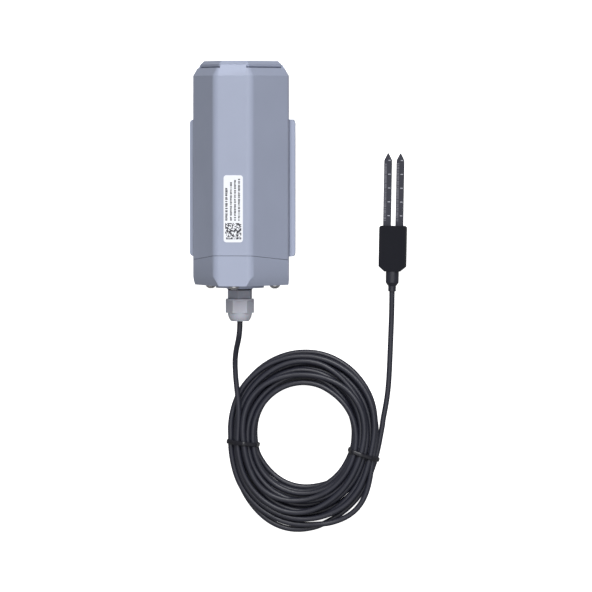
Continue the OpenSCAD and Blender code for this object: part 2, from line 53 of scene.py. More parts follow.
BODY = {n: b for b, ns in RECORD["behaviour"]["bodies"].items() for n in ns}
SLOT = {p["node"]: p["material_slot"] for p in RECORD["subparts"]}
MM = 0.001

# ---- camera -----------------------------------------------------------------------

CAMERA_TARGET = Vector((0.0409, -0.0776, 0.033))
CAMERA_DISTANCE = 4.0
CAMERA_YAW = math.radians(8.5)
CAMERA_PITCH = math.radians(1.8)
CAMERA_LENS = 337.8
SENSOR_WIDTH = 36.0


def make_camera():
    data = bpy.data.cameras.new("camera")
    data.lens = CAMERA_LENS
    data.sensor_width = SENSOR_WIDTH
    data.clip_end = 5 * CAMERA_DISTANCE
    camera = bpy.data.objects.new("camera", data)
    bpy.context.collection.objects.link(camera)
    back = Vector((
        math.sin(CAMERA_YAW) * math.cos(CAMERA_PITCH),
        math.sin(CAMERA_PITCH),
        math.cos(CAMERA_YAW) * math.cos(CAMERA_PITCH),
    ))
    right = Vector((0, 1, 0)).cross(back).normalized()
    up = back.cross(right)
    camera.matrix_world = Matrix((
        (right.x, up.x, back.x, 0),
        (right.y, up.y, back.y, 0),
        (right.z, up.z, back.z, 0),
        (0, 0, 0, 1),
    ))
    camera.location = CAMERA_TARGET + CAMERA_DISTANCE * back
    bpy.context.scene.camera = camera


make_camera()

# ---- materials --------------------------------------------------------------------


class Nodes:
    """Short hand for building one material's node tree."""

    def __init__(self, name):
        self.material = bpy.data.materials.new(name)
        self.material.use_nodes = True
        self.tree = self.material.node_tree
        self.shader = self.tree.nodes["Principled BSDF"]
        self.coords = self.tree.nodes.new("ShaderNodeTexCoord").outputs["Object"]

    def add(self, kind, **values):
        node = self.tree.nodes.new(kind)
        for key, value in values.items():
            setattr(node, key, value)
        return node

    def link(self, source, target):
        self.tree.links.new(source, target)

    def noise(self, scale, detail=3.0, coords=None):
        node = self.add("ShaderNodeTexNoise")
        node.inputs["Scale"].default_value = scale
        node.inputs["Detail"].default_value = detail
        self.link(coords or self.coords, node.inputs["Vector"])
        return node.outputs["Fac"]

    def stretched(self, x, y, z):
        node = self.add("ShaderNodeMapping")
        node.inputs["Scale"].default_value = (x, y, z)
        self.link(self.coords, node.inputs["Vector"])
        return node.outputs["Vector"]

    def ramp(self, factor, low, high, out_low=0.0, out_high=1.0):
        node = self.add("ShaderNodeMapRange")
        node.inputs["From Min"].default_value = low
        node.inputs["From Max"].default_value = high
        node.inputs["To Min"].default_value = out_low
        node.inputs["To Max"].default_value = out_high
        self.link(factor, node.inputs["Value"])
        return node.outputs["Result"]

    def mix(self, factor, first, second):
        node = self.add("ShaderNodeMix", data_type="RGBA")
        self.link(factor, node.inputs[0])
        for socket, value in ((node.inputs[6], first), (node.inputs[7], second)):
            if isinstance(value, bpy.types.NodeSocket):
                self.link(value, socket)
            else:
                socket.default_value = (*value, 1.0)
        return node.outputs[2]

    def bump(self, height, strength, distance=0.0001, normal=None):
        node = self.add("ShaderNodeBump")
        node.inputs["Strength"].default_value = strength
        node.inputs["Distance"].default_value = distance
        self.link(height, node.inputs["Height"])
        if normal:
            self.link(normal, node.inputs["Normal"])
        return node.outputs["Normal"]

    def put(self, name, value):
        self.shader.inputs[name].default_value = value

    def colour(self, output):
        self.link(output, self.shader.inputs["Base Color"])

    def rough(self, output):
        self.link(output, self.shader.inputs["Roughness"])

    def normal(self, output):
        self.link(output, self.shader.inputs["Normal"])


def shade(colour, k):
    return tuple(min(1.0, c * k) for c in colour)


def moulded(name, colour, rough, grain=1600, depth=0.25, painted_edge_highlight=0.12, uneven=0.05, **sockets):
    """Moulded plastic or rubber: eroded grain, cloudy colour, uneven gloss and sharp edges painted
    paler as a painted highlight.
    """
    n = Nodes(name)
    cloud = n.ramp(n.noise(28, 4), 0.3, 0.7)
    body = n.mix(cloud, shade(colour, 1 - uneven), shade(colour, 1 + uneven))
    # Painted highlight: sharp edges (high pointiness) are painted a paler colour, as if they caught the
    # light
    edge = n.ramp(n.add("ShaderNodeNewGeometry").outputs["Pointiness"], 0.52, 0.62, 0.0, painted_edge_highlight)
    n.colour(n.mix(edge, body, shade(colour, 1.6)))
    n.rough(n.ramp(n.noise(90, 5), 0.25, 0.75, rough - 0.06, rough + 0.06))
    n.normal(n.bump(n.noise(grain, 2), depth))
    for key, value in sockets.items():
        n.put(key.replace("_", " "), value)
    return n.material


def metal(name, colour, rough, along=(1, 1, 40)):
    """Turned or drawn metal with fine marks and faint stains."""
    n = Nodes(name)
    n.put("Metallic", 1.0)
    stain = n.ramp(n.noise(300, 4), 0.35, 0.75)
    n.colour(n.mix(stain, colour, shade(colour, 0.82)))
    marks = n.noise(500, 3, n.stretched(*along))
    n.rough(n.ramp(marks, 0.2, 0.8, rough - 0.07, rough + 0.1))
    n.normal(n.bump(marks, 0.15, 0.00005))
    return n.material


def solder_mask(name):
    """Green board lacquer over copper tracks."""
    n = Nodes(name)
    brick = n.add("ShaderNodeTexBrick")
    brick.inputs["Scale"].default_value = 260
    brick.inputs["Mortar Size"].default_value = 0.05
    n.link(n.coords, brick.inputs["Vector"])
    tracks = n.ramp(brick.outputs["Fac"], 0.0, 1.0)
    patches = n.ramp(n.noise(120, 1), 0.5, 0.53)
    base = n.mix(patches, (0.008, 0.085, 0.028), (0.014, 0.13, 0.042))
    n.colour(n.mix(tracks, base, (0.03, 0.2, 0.07)))
    n.rough(n.ramp(n.noise(400), 0.3, 0.7, 0.24, 0.36))
    n.normal(n.bump(tracks, 0.3, 0.00004))
    return n.material


def sleeve(name):
    """Printed shrink sleeve of a battery cell, with a pale band at its positive end."""
    n = Nodes(name)
    axis = n.add("ShaderNodeSeparateXYZ")
    n.link(n.coords, axis.inputs[0])
    band = n.ramp(axis.outputs["Y"], 0.0195, 0.0197)
    cloud = n.ramp(n.noise(40), 0.3, 0.7)
    body = n.mix(cloud, (0.035, 0.13, 0.065), (0.045, 0.16, 0.08))
    n.colour(n.mix(band, body, (0.62, 0.63, 0.6)))
    n.rough(n.ramp(n.noise(150), 0.3, 0.7, 0.22, 0.34))
    n.normal(n.bump(n.noise(90, 2), 0.2, 0.0002))
    return n.material


def webbing(name):
    """Woven strap: two crossed waves of thread."""
    n = Nodes(name)
    heights = []
    for direction in ("X", "Y"):
        wave = n.add("ShaderNodeTexWave", bands_direction=direction)
        wave.inputs["Scale"].default_value = 500
        n.link(n.coords, wave.inputs["Vector"])
        heights.append(wave.outputs["Fac"])
    crossed = n.add("ShaderNodeMath", operation="MULTIPLY")
    n.link(heights[0], crossed.inputs[0])
    n.link(heights[1], crossed.inputs[1])
    weave = crossed.outputs[0]
    n.colour(n.mix(weave, (0.010, 0.010, 0.012), (0.05, 0.05, 0.056)))
    n.rough(n.ramp(weave, 0.0, 1.0, 0.9, 0.7))
    n.normal(n.bump(weave, 0.6, 0.0002))
    return n.material


def threaded(name, colour):
    """Nylon with the gland's screw thread as fine rings along its axis."""
    n = Nodes(name)
    wave = n.add("ShaderNodeTexWave", bands_direction="Y")
    wave.inputs["Scale"].default_value = 100
    n.link(n.coords, wave.inputs["Vector"])
    cloud = n.ramp(n.noise(60, 4), 0.3, 0.7)
    n.colour(n.mix(cloud, shade(colour, 0.94), shade(colour, 1.06)))
    n.rough(n.ramp(n.noise(200), 0.3, 0.7, 0.34, 0.46))
    n.normal(n.bump(n.noise(900), 0.15))
    n.put("Subsurface Weight", 0.12)
    n.put("Subsurface Scale", 0.002)
    return n.material


SHELL = (0.325, 0.360, 0.470)
NYLON = (0.31, 0.32, 0.38)
JACKET = (0.019, 0.020, 0.031)
NUT = (0.47, 0.48, 0.55)

MATERIALS = {
    "shell_plastic": moulded("shell", SHELL, 0.46, painted_edge_highlight=0.20, uneven=0.025),
    "cradle_plastic": moulded("cradle_shell", SHELL, 0.50, painted_edge_highlight=0.20, uneven=0.03),
    "gland_nylon": threaded("nylon", NYLON),
    "white_nylon": moulded("white_nylon", (0.70, 0.70, 0.72), 0.4),
    "label_film": moulded("label_film", (0.80, 0.82, 0.87), 0.42, grain=3000, depth=0.05,
                          painted_edge_highlight=0.0, uneven=0.01),
    "stainless": metal("stainless", (0.60, 0.60, 0.62), 0.24),
    "brass": metal("brass", (0.74, 0.53, 0.24), 0.3),
    "black_rubber": moulded("black_rubber", (0.016, 0.016, 0.02), 0.62, grain=900),
    "seal_rubber": moulded("seal_rubber", (0.045, 0.046, 0.052), 0.66, grain=900),
    "cable_jacket": moulded("cable_jacket", JACKET, 0.40, grain=2400, depth=0.12, painted_edge_highlight=0.0,
                            uneven=0.15, Specular_IOR_Level=0.45),
    "tie_nylon": moulded("tie_nylon", (0.008, 0.008, 0.013), 0.30, grain=1200, depth=0.15),
    "wire_insulation": moulded("wire_red", (0.55, 0.05, 0.04), 0.34, grain=2500, depth=0.1),
    "sled_plastic": moulded("sled", (0.68, 0.67, 0.62), 0.5),
    "board_laminate": solder_mask("solder_mask"),
    "shield_can": metal("shield_can", (0.68, 0.69, 0.70), 0.3, along=(40, 1, 1)),
    "antenna_wire": metal("antenna_copper", (0.72, 0.42, 0.20), 0.28),
    "terminal_green": moulded("terminal_green", (0.03, 0.27, 0.09), 0.42),
    "led_lens": moulded("led_lens", (0.74, 0.84, 0.72), 0.16, depth=0.05),
    "part_grey": moulded("part_grey", (0.40, 0.41, 0.45), 0.4),
    "part_black": moulded("part_black", (0.018, 0.018, 0.022), 0.45),
    "button_yellow": moulded("button_yellow", (0.80, 0.48, 0.05), 0.4),
    "cell_sleeve": sleeve("cell_sleeve"),
    "strap_web": webbing("strap_web"),
    "plug_ivory": moulded("plug_ivory", (0.77, 0.74, 0.62), 0.42),
    "sensor_laminate": moulded("sensor_laminate", (0.028, 0.029, 0.042), 0.40, grain=1400,
                               depth=0.1, painted_edge_highlight=0.3, Specular_IOR_Level=0.3),
    "probe_plastic": moulded("probe_plastic", (0.004, 0.0045, 0.009), 0.5, painted_edge_highlight=0.3,
                             Specular_IOR_Level=0.16),
}
INK = moulded("ink_dark", (0.030, 0.030, 0.040), 0.5, depth=0.02, painted_edge_highlight=0.0)
INK_GREY = moulded("ink_grey", (0.13, 0.13, 0.155), 0.5, depth=0.02, painted_edge_highlight=0.0)
INK_WHITE = moulded("ink_white", (0.42, 0.43, 0.48), 0.5, depth=0.02, painted_edge_highlight=0.0)
NUT_NYLON = threaded("nut_nylon", NUT)
BOOT_RUBBER = moulded("boot_rubber", (0.016, 0.017, 0.026), 0.30, grain=900, depth=0.1)
SOLDER = metal("solder", (0.70, 0.70, 0.69), 0.35)
WIRE_BLACK = moulded("wire_black", (0.014, 0.014, 0.017), 0.34, grain=2500, depth=0.1)
WIRE_YELLOW = moulded("wire_yellow", (0.75, 0.55, 0.04), 0.34, grain=2500, depth=0.1)
WIRE_GREEN = moulded("wire_green", (0.04, 0.30, 0.08), 0.34, grain=2500, depth=0.1)
WIRE_WHITE = moulded("wire_white", (0.72, 0.72, 0.70), 0.34, grain=2500, depth=0.1)

# ---- pieces -----------------------------------------------------------------------


def new_piece(name, mesh, body, slot, material=None):
    piece = bpy.data.objects.new(name, mesh)
    bpy.context.collection.objects.link(piece)
    mesh.materials.clear()
    mesh.materials.append(material or MATERIALS[slot])
    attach(piece, body)
    return piece


def smooth_faces(mesh):
    mesh.polygons.foreach_set("use_smooth", [True] * len(mesh.polygons))
    mesh.update()


def mesh_of(name, points, faces, weld=0.0):
    mesh = bpy.data.meshes.new(name)
    mesh.from_pydata([tuple(p) for p in points], [], faces)
    bm = bmesh.new()
    bm.from_mesh(mesh)
    if weld:
        bmesh.ops.remove_doubles(bm, verts=bm.verts, dist=weld)
    bmesh.ops.recalc_face_normals(bm, faces=bm.faces)
    bm.to_mesh(mesh)
    bm.free()
    return mesh


# ---- cable ------------------------------------------------------------------------

CORD_D = 0.004
LEAD_ROUTE = (
    (0, -0.09585, 0.033), (0, -0.099, 0.033), (-0.0002, -0.102, 0.0326),
    (-0.001, -0.106, 0.031), (-0.0024, -0.111, 0.0278), (-0.004, -0.116, 0.024),
    (-0.0054, -0.121, 0.0204), (-0.0062, -0.127, 0.0172), (-0.0063, -0.133, 0.0152),
    (-0.0058, -0.139, 0.0142), (-0.005, -0.146, 0.0138),
)
TAIL_ROUTE = (
    (0.106907, -0.074797, 0.0048), (0.1068, -0.079, 0.0046), (0.1066, -0.085, 0.0034),
    (0.1063, -0.092, 0.0023), (0.106, -0.099, 0.002), (0.1056, -0.109, 0.002),
    (0.1052, -0.119, 0.002), (0.1048, -0.129, 0.002), (0.1043, -0.139, 0.002),
    (0.1034, -0.149, 0.002), (0.102, -0.158, 0.002), (0.1002, -0.167, 0.002),
    (0.098, -0.176, 0.002),
)
# The coil is worked out in millimetres
COIL_X, COIL_Y = 43.0, -180.0
TURNS = 16
ROWS = (5, 4, 5, 2)
PITCH = 4.06
ROW_STEP = 3.52
FLOOR = 2.0
# Angle, inner radius, sideways stretch, share of the step to the next place
STATIONS = (
    (187, 37.2, 1.0, 0.0), (224, 37.6, 1.32, 0.1), (264, 38.6, 1.62, 0.25),
    (306, 36.8, 1.36, 0.4), (343, 35.6, 1.0, 0.5), (395, 38.0, 1.12, 0.65),
    (445, 40.6, 1.2, 0.8), (500, 39.4, 1.1, 0.9),
)
TIED_STATIONS = (0, 4)
LAST_STATION = 5
# Loose loops: turn, angle, extra radius, width in degrees
LOOPS = ((15, 252, 4.5, 30), (6, 304, 7.0, 24), (1, 232, 3.0, 26))
# Ties: x and y of the middle, and turn about z in degrees
TIES = ((-1.7, -185.4, -6.0), (86.6, -193.2, -20.0))
# Half width and top height that a tie squeezes the turns to, and its reach along them
TIE_HALF, TIE_TOP, TIE_REACH = 9.0, 14.2, 9.0
TIE_SIDE_REACH = 14
TIE_GRIP = 0.5
TIE_LIFT, TIE_SLOPE = 1.3, 14.0
STEP = 3.0
KEPT_START, KEPT_END = 44.0, 95.0
ROUNDS = 300
LAST_ROUNDS = 30
PAIR_ROUNDS = 10
CONTACT_PASSES = 3
WEIGHT_DROP = 0.03
# Stiffness: share taken from the softened drift, and the width that it is softened over
STIFF, STIFF_LAST = 0.45, 0.15
SOFT_WIDTH, SOFT_REACH = 6, 15
LAST_SMOOTHINGS = 2
# Length over which the cable is brought nearer to the gland's axis, and by what share
EXIT_REACH, EXIT_SHARE = 24.0, 0.5


def place_of(index):
    """Column and row of the turn with this index, counted from the floor."""
    index = max(0, min(TURNS - 1, index))
    row = 0
    while index >= ROWS[row]:
        index -= ROWS[row]
        row += 1
    column = ROWS[row] - 1 - index if row % 2 == 0 else index
    return np.array([column + 0.5 * (ROWS[0] - ROWS[row]), row], float)


def coil_stations(rng):
    found = []
    for k in range(TURNS):
        index = TURNS - 1 - k
        for j, (angle, inner, wide, share) in enumerate(STATIONS):
            if k == TURNS - 1 and j == LAST_STATION:
                break
            column, row = place_of(index) * (1 - share) + place_of(index - 1) * share
            tied = j in TIED_STATIONS
            loose = 0.0 if tied else 0.5 + 0.75 * row
            radius = inner + PITCH * wide * column + loose * rng.uniform(-1.1, 1.1)
            height = FLOOR + ROW_STEP * row * (1 if tied else 1 / wide)
            found.append((360 * k + angle, radius, height))
    return np.array(found)


def through(x, xs, ys):
    """Smooth curve through the given points, with softened slopes."""
    i = np.clip(np.searchsorted(xs, x) - 1, 0, len(xs) - 2)
    h = xs[i + 1] - xs[i]
    t = (x - xs[i]) / h
    m = np.zeros(len(xs))
    m[1:-1] = 0.7 * (ys[2:] - ys[:-2]) / (xs[2:] - xs[:-2])
    first = (2 * t**3 - 3 * t**2 + 1) * ys[i] + (t**3 - 2 * t**2 + t) * h * m[i]
    return first + (3 * t**2 - 2 * t**3) * ys[i + 1] + (t**3 - t**2) * h * m[i + 1]


def blur(values, width, reach=None):
    reach = reach or 3 * width
    k = np.arange(-reach, reach + 1)
    weights = np.exp(-0.5 * (k / width) ** 2)
    return np.convolve(np.pad(values, reach, mode="edge"), weights / weights.sum(), "valid")


def coil_start(rng):
    stations = coil_stations(rng)
    turn = np.arange(stations[0, 0], stations[-1, 0] + 1, 2.0)
    radius = blur(through(turn, stations[:, 0], stations[:, 1]), 5)
    height = blur(through(turn, stations[:, 0], stations[:, 2]), 4)
    for k, angle, extra, width in LOOPS:
        radius = radius + extra * np.exp(-(((turn - 360 * k - angle) / width) ** 2))
    a = np.radians(turn)
    return np.stack([COIL_X + radius * np.cos(a), COIL_Y + radius * np.sin(a), height], 1)


def distances(p):
    return np.concatenate([[0], np.cumsum(np.linalg.norm(np.diff(p, axis=0), axis=1))])


def evenly(p, step):
    s = distances(p)
    t = np.linspace(0, s[-1], int(round(s[-1] / step)) + 1)
    return np.stack([np.interp(t, s, p[:, i]) for i in range(3)], 1)


def near_pairs(p, reach=7.0, apart=4, chunk=400):
    """Pairs of points on different stretches that may touch."""
    first, second = [], []
    for s in range(0, len(p), chunk):
        d2 = ((p[s:s + chunk, None, :] - p[None, :, :]) ** 2).sum(2)
        a, b = np.nonzero(d2 < reach * reach)
        a = a + s
        keep = b - a > apart
        first.append(a[keep])
        second.append(b[keep])
    return np.concatenate(first), np.concatenate(second)


def in_tie(p, tie):
    """Each point's place across and along one tie."""
    c, s = math.cos(math.radians(tie[2])), math.sin(math.radians(tie[2]))
    dx, dy = p[:, 0] - tie[0], p[:, 1] - tie[1]
    return dx * c + dy * s, dy * c - dx * s, c, s


def floor_under(p):
    """The turns lie a tie's thickness above the surface where a tie passes under them."""
    low = np.full(len(p), FLOOR)
    for tie in TIES:
        across, along, _, _ = in_tie(p, tie)
        lift = TIE_LIFT * np.exp(-((along / TIE_SLOPE) ** 2))
        low += np.where(np.abs(across) < 3 * TIE_REACH, lift, 0)
    return low


def push_apart(p, first, second, free):
    v = p[second] - p[first]
    d = np.sqrt((v**2).sum(1)) + 1e-9
    overlap = np.maximum(0, PITCH - d)
    move = v / d[:, None] * (overlap * 0.5)[:, None]
    n = len(p)
    hits = np.bincount(first, overlap > 0, n) + np.bincount(second, overlap > 0, n)
    total = np.stack([
        np.bincount(second, move[:, k], n) - np.bincount(first, move[:, k], n)
        for k in range(3)
    ], 1)
    p += total / np.maximum(1, 0.6 * hits)[:, None] * free
    p[:, 2] = np.maximum(p[:, 2], np.where(free[:, 0] > 0, floor_under(p), p[:, 2]))


def squeeze(p, tie, free):
    across, along, c, s = in_tie(p, tie)
    near = (np.abs(along) < TIE_REACH) & (np.abs(across) < TIE_HALF + TIE_SIDE_REACH) & (free[:, 0] > 0)
    weight = np.clip(1 - np.abs(along) / TIE_REACH, 0, 1) * TIE_GRIP
    over = np.sign(across) * np.maximum(0, np.abs(across) - TIE_HALF) * weight
    p[near, 0] -= (over * c)[near]
    p[near, 1] -= (over * s)[near]
    p[near, 2] -= (np.maximum(0, p[:, 2] - TIE_TOP) * weight)[near]


def settle(p, fixed):
    """The cable settles under its weight: it stays smooth and its turns keep apart."""
    free = (~fixed)[:, None].astype(float)
    home = p.copy()
    for step in range(ROUNDS):
        if step % PAIR_ROUNDS == 0:
            first, second = near_pairs(p)
        p[:, 2] -= WEIGHT_DROP * free[:, 0]
        drift = p - home
        soft = np.stack([blur(drift[:, k], SOFT_WIDTH, SOFT_REACH) for k in range(3)], 1)
        weight = STIFF if step < ROUNDS - LAST_ROUNDS else STIFF_LAST
        p += weight * (soft - drift) * free
        for _ in range(CONTACT_PASSES):
            push_apart(p, first, second, free)
        for tie in TIES:
            squeeze(p, tie, free)
    for _ in range(LAST_SMOOTHINGS):
        soft = p.copy()
        soft[1:-1] = (p[:-2] + 2 * p[1:-1] + p[2:]) / 4
        p += (soft - p) * free
    return p


def line_up_exit(p):
    """The cable leaves nearly in line with the gland, so that the nut can travel along it."""
    t = np.clip(distances(p) / EXIT_REACH, 0, 1)
    keep = 1 - EXIT_SHARE * (1 - t * t * (3 - 2 * t))
    axis_z = LEAD_ROUTE[0][2] / MM
    p[:, 0] *= keep
    p[:, 2] = axis_z + (p[:, 2] - axis_z) * keep
    return p


def cable_path():
    """The whole cable's middle line in millimetres, from the gland to the probe."""
    rng = np.random.default_rng(7)
    coil = coil_start(rng)
    lead = np.array(LEAD_ROUTE) / MM
    onto = np.array([[-4.2, -152.0, 13.8], [-3.4, -160.0, 13.4]])
    tail = np.array(TAIL_ROUTE[::-1]) / MM
    p = evenly(np.concatenate([lead, onto, coil, tail]), STEP)
    for _ in range(3):
        p[1:-1] = (p[:-2] + 2 * p[1:-1] + p[2:]) / 4
    p = evenly(p, STEP)
    s = distances(p)
    p = settle(p, (s < KEPT_START) | (s > s[-1] - KEPT_END))
    return line_up_exit(p)


def make_cable(path):
    fine = np.stack([blur(evenly(path, STEP / 2)[:, k], 1) for k in range(3)], 1)
    fine[0], fine[-1] = path[0], path[-1]
    curve = bpy.data.curves.new("cable", "CURVE")
    curve.dimensions = "3D"
    curve.bevel_depth = CORD_D / 2
    curve.bevel_resolution = 4
    curve.use_fill_caps = True
    spline = curve.splines.new("POLY")
    spline.points.add(len(fine) - 1)
    for point, place in zip(spline.points, fine * MM):
        point.co = (*place, 1.0)
    spline.use_smooth = True
    cable = bpy.data.objects.new("cable", curve)
    bpy.context.collection.objects.link(cable)
    curve.materials.append(MATERIALS["cable_jacket"])
    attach(cable, "cap_unit")
    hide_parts("cord_lead", "cord_coil", "cord_tail")
    return cable


def hull_2d(points):
    """Outline round the points, anticlockwise."""
    points = sorted(map(tuple, points))

    def half(ordered):
        chain = []
        for p in ordered:
            while len(chain) > 1:
                a, b = chain[-2], chain[-1]
                if (b[0] - a[0]) * (p[1] - a[1]) - (b[1] - a[1]) * (p[0] - a[0]) > 0:
                    break
                chain.pop()
            chain.append(p)
        return chain[:-1]

    return np.array(half(points) + half(points[::-1]))


TIE_GAP, TIE_THICK, TIE_WIDE, TIE_STEPS = 0.05, 1.0, 1.5, 120


def tie_outline(path, tie):
    """Closed line round the turns in the tie's plane, with its outward normals."""
    across, along, _, _ = in_tie(path, tie)
    cut = (along[:-1] * along[1:] < 0) & (np.abs(across[:-1]) < 2 * TIE_HALF)
    i = np.nonzero(cut)[0]
    t = along[i] / (along[i] - along[i + 1])
    u = across[i] * (1 - t) + across[i + 1] * t
    z = path[i, 2] * (1 - t) + path[i + 1, 2] * t
    a = np.radians(np.arange(0, 360, 10))
    radius = CORD_D / 2 / MM + TIE_GAP
    rings = [(x + radius * math.cos(b), y + radius * math.sin(b))
             for x, y in zip(u, z) for b in a]
    outline = hull_2d(rings)
    closed = np.vstack([outline, outline[:1]])
    s = distances(np.column_stack([closed, np.zeros(len(closed))]))
    at = np.linspace(0, s[-1], TIE_STEPS, endpoint=False)
    line = np.stack([np.interp(at, s, closed[:, k]) for k in range(2)], 1)
    ahead = np.roll(line, -2, 0) - np.roll(line, 2, 0)
    normal = np.stack([ahead[:, 1], -ahead[:, 0]], 1)
    return line, normal / np.linalg.norm(normal, axis=1)[:, None]


def tie_band(path, tie):
    """Points and faces of one band, in metres."""
    line, normal = tie_outline(path, tie)
    thick, wide = TIE_THICK, TIE_WIDE
    profile = ((0, -wide + 0.3), (0.3, -wide), (thick - 0.35, -wide), (thick, -wide + 0.5),
               (thick, wide - 0.5), (thick - 0.35, wide), (0.3, wide), (0, wide - 0.3))
    c, s = math.cos(math.radians(tie[2])), math.sin(math.radians(tie[2]))
    points = []
    for (u, z), (nu, nz) in zip(line, normal):
        for out, side in profile:
            across = u + nu * out
            x = tie[0] + across * c - side * s
            y = tie[1] + across * s + side * c
            points.append((x * MM, y * MM, max(0.0, z + nz * out) * MM))
    n, m = len(line), len(profile)
    faces = [
        (i * m + j, (i + 1) % n * m + j, (i + 1) % n * m + (j + 1) % m, i * m + (j + 1) % m)
        for i in range(n) for j in range(m)
    ]
    return points, faces


def make_ties(path):
    points, faces = [], []
    for tie in TIES:
        more, shapes = tie_band(path, tie)
        faces += [tuple(i + len(points) for i in f) for f in shapes]
        points += more
    mesh = mesh_of("ties", points, faces)
    smooth_faces(mesh)
    ties = new_piece("cable_ties", mesh, "cap_unit", "tie_nylon")
    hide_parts("coil_ties")
    return ties


path = cable_path()
cable = make_cable(path)
ties = make_ties(path)

# ---- CAD shapes with finished edges -------------------------------------------------

SHARP = math.radians(26)


def refined(node, name, width, segments=2, chosen=None, material=None):
    """A copy of a CAD node's shape with rounded edges, which stands for the node."""
    mesh = frame["nodes"][node].data.copy()
    bm = bmesh.new()
    bm.from_mesh(mesh)
    bmesh.ops.remove_doubles(bm, verts=bm.verts, dist=2e-6)
    bmesh.ops.recalc_face_normals(bm, faces=bm.faces)
    edges = [
        e for e in bm.edges
        if len(e.link_faces) == 2 and e.calc_face_angle(0) > SHARP
        and (chosen is None or chosen(e))
    ]
    if width and edges:
        bmesh.ops.bevel(bm, geom=edges, offset=width * MM, segments=segments, profile=0.5,
                        affect="EDGES", clamp_overlap=True)
    for e in bm.edges:
        e.smooth = len(e.link_faces) != 2 or e.calc_face_angle(0) < 1.5 * SHARP
    bm.to_mesh(mesh)
    bm.free()
    if "custom_normal" in mesh.attributes:
        mesh.attributes.remove(mesh.attributes["custom_normal"])
    smooth_faces(mesh)
    piece = new_piece(name, mesh, BODY[node], SLOT[node], material)
    weighted = piece.modifiers.new("weighted", "WEIGHTED_NORMAL")
    weighted.keep_sharp = True
    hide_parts(node)
    return piece


EDGES = {
    "housing": ("housing_shell", 0.35), "end_cap": ("cap_shell", 0.35),
    "cradle": ("wall_cradle", 0.5), "cap_gasket": ("gasket", 0.1),
    "thread_inserts": ("inserts", 0.1), "cap_screws": ("case_screws", 0.15),
    "screw_seals": ("screw_washers", 0.0), "gland_body": ("gland_base", 0.25),
    "gland_oring": ("gland_ring", 0.3), "gland_locknut": ("gland_back_nut", 0.3),
    "gland_seal": ("gland_bush", 0.2), "gland_slip_ring": ("gland_washer", 0.15),
    "inner_cable": ("cable_inside", 0.0),
    "chassis": ("sled", 0.25), "chassis_screws": ("sled_screws", 0.15),
    "main_board": ("board", 0.1), "board_screws": ("board_fixings", 0.15),
    "radio_module": ("radio_shield", 0.2), "antenna": ("antenna_rod", 0.2),
    "terminal_block": ("terminals", 0.2), "terminal_screws": ("terminal_fixings", 0.08),
    "status_led": ("status_lamp", 0.1), "power_switch": ("switch_case", 0.15),
    "switch_slider": ("switch_knob", 0.15), "setup_button": ("button_case", 0.15),
    "button_plunger": ("button_knob", 0.15), "battery": ("cell", 0.6),
    "battery_strap": ("cell_strap", 0.15), "battery_plug": ("cell_plug", 0.25),
    "sensor_board": ("sensor_fork", 0.12),
}
for node, (name, width) in EDGES.items():
    refined(node, name, width)

AXIS_Z = LEAD_ROUTE[0][2]
NUT_OUTSIDE = 0.0065


def on_nut_outside(edge):
    return all(math.hypot(v.co.x, v.co.z - AXIS_Z) > NUT_OUTSIDE for v in edge.verts)


refined("gland_nut", "gland_cap_nut", 0.35, chosen=on_nut_outside, material=NUT_NYLON)
refined("probe_boot", "boot", 0.5, segments=3, material=BOOT_RUBBER)

HEAD_MIDDLE = sum(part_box("probe_head")[k][2] for k in (0, 1)) / 2
HEAD_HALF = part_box("probe_head")[1][2] - HEAD_MIDDLE


def on_head_rim(edge):
    return all(abs(v.co.z - HEAD_MIDDLE) > 0.9 * HEAD_HALF for v in edge.verts)


refined("probe_head", "probe_grip", 1.1, segments=4, chosen=on_head_rim)


def split_wires(node, name, colours):
    """A bundle of wires, each with its own colour of insulation."""
    piece = refined(node, name, 0.0)
    mesh = piece.data
    for colour in colours[1:]:
        mesh.materials.append(colour)
    mesh.materials[0] = colours[0]
    bm = bmesh.new()
    bm.from_mesh(mesh)
    left = set(bm.verts)
    groups = []
    while left:
        start = left.pop()
        group, edge = {start}, [start]
        while edge:
            for e in edge.pop().link_edges:
                for v in e.verts:
                    if v not in group:
                        group.add(v)
                        edge.append(v)
        left -= group
        groups.append(group)
    groups.sort(key=lambda g: min(v.co.x for v in g))
    for i, group in enumerate(groups):
        for v in group:
            for f in v.link_faces:
                f.material_index = i % len(colours)
    bm.to_mesh(mesh)
    bm.free()


RED = MATERIALS["wire_insulation"]
split_wires("terminal_wires", "sensor_wires", (RED, WIRE_YELLOW, WIRE_GREEN, WIRE_WHITE))
split_wires("battery_leads", "cell_leads", (WIRE_BLACK, RED))

# ---- small print and small parts ------------------------------------------------------


class Slabs:
    """Many thin rectangles or small blocks in one mesh."""

    def __init__(self):
        self.points = []
        self.faces = []
        self.materials = []

    def add(self, low, high, material=0, taper=0.0):
        (x0, y0, z0), (x1, y1, z1) = low, high
        t = taper
        k = len(self.points)
        self.points += [(x0, y0, z0), (x1, y0, z0), (x1, y1, z0), (x0, y1, z0),
                        (x0 + t, y0 + t, z1), (x1 - t, y0 + t, z1),
                        (x1 - t, y1 - t, z1), (x0 + t, y1 - t, z1)]
        for f in ((0, 3, 2, 1), (4, 5, 6, 7), (0, 1, 5, 4), (1, 2, 6, 5), (2, 3, 7, 6),
                  (3, 0, 4, 7)):
            self.faces.append(tuple(k + i for i in f))
            self.materials.append(material)

    def piece(self, name, body, slot, materials, matrix=None):
        points = [Vector(p) * MM for p in self.points]
        if matrix:
            points = [matrix @ p for p in points]
        mesh = mesh_of(name, points, self.faces)
        made = new_piece(name, mesh, body, slot, materials[0])
        for material in materials[1:]:
            mesh.materials.append(material)
        mesh.polygons.foreach_set("material_index", self.materials)
        return made


